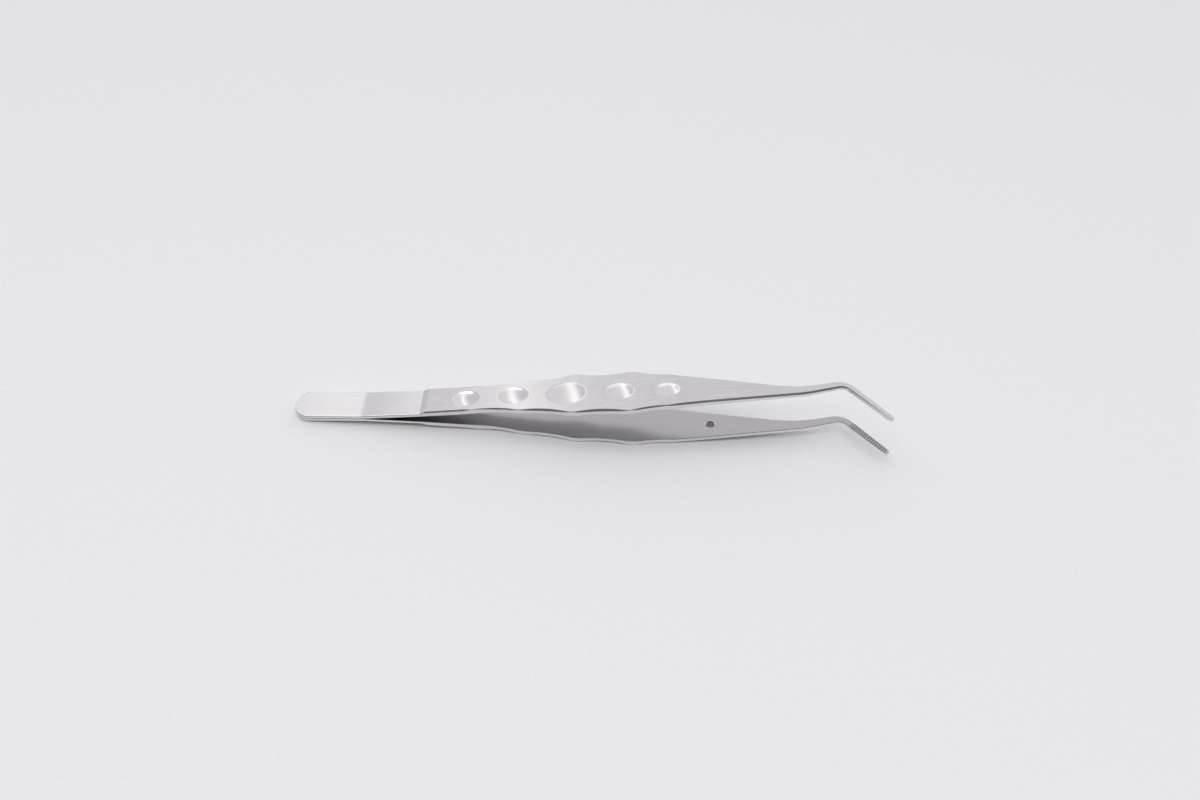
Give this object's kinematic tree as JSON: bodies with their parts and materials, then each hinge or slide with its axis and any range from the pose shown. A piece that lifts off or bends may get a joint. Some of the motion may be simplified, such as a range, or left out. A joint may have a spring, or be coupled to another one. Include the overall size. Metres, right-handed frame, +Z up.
{
  "type": "cotton pliers",
  "caption": "Sprung steel tweezers welded at the heel, with scalloped, dimpled finger grips, a guide pin and slim angled beaks with fine cross serrations",
  "frame": {"origin": "bottom centre of the bounding box, on the table that the lower arm lies on", "axes": "X runs along the tool from the heel to the beaks, Y across it with the beaks turned towards -Y, Z up, the way the arms open"},
  "size_m": [0.1498, 0.0152, 0.0185],
  "materials": {
    "satin_steel": "satin stainless steel, brushed along the arms, with the thumb dimples polished",
    "pin_steel": "turned and polished stainless steel"
  },
  "bodies": {
    "root": {"upper_arm": "satin_steel", "lower_arm": "satin_steel", "guide_pin": "pin_steel"}
  },
  "joints": []
}
